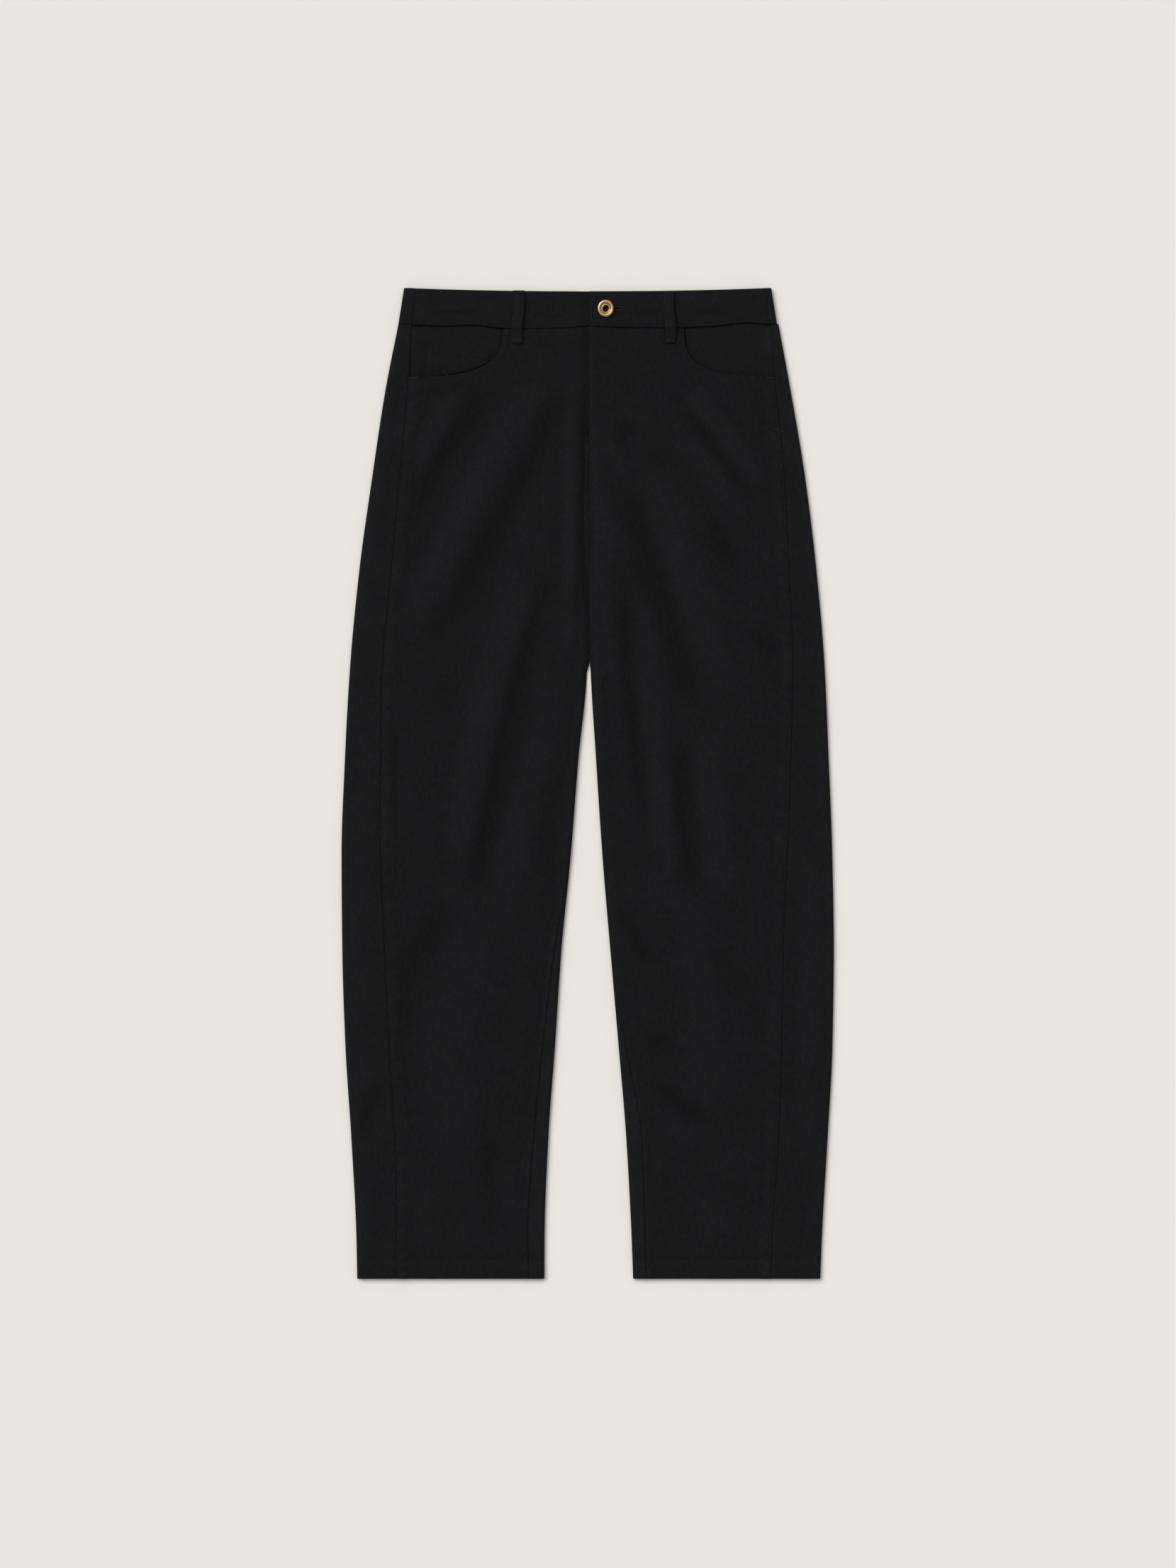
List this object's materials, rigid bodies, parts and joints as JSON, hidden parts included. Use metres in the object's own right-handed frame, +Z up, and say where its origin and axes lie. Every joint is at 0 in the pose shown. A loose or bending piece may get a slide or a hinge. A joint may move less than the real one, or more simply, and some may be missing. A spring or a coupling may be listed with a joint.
{
  "type": "barrel leg trousers",
  "caption": "Barrel leg trousers in black twill, laid flat with the front up: waistband with belt loops, buttoned fly, curved hip pockets, coin pocket and wide curved legs.",
  "frame": {"origin": "on the surface that the trousers lie on, under the middle of their outline", "axes": "+Y from the hems to the waist, +Z up out of the garment's front, +X towards the wearer's left leg"},
  "size_m": [0.5206, 1.0472, 0.0102],
  "materials": {
    "black_twill": "matte washed black cotton twill",
    "antique_brass": "antique, lightly polished",
    "dark_metal": "dark, oxidised"
  },
  "bodies": {
    "root": {"front_leg_right": "black_twill", "front_leg_left": "black_twill", "back_leg_right": "black_twill", "back_leg_left": "black_twill", "waistband_front_right": "black_twill", "waistband_front_left": "black_twill", "waistband_back": "black_twill", "belt_loop_right": "black_twill", "belt_loop_left": "black_twill", "pocket_facing_right": "black_twill", "pocket_facing_left": "black_twill", "coin_pocket": "black_twill", "button_ring": "antique_brass", "button_post": "dark_metal"}
  },
  "joints": []
}
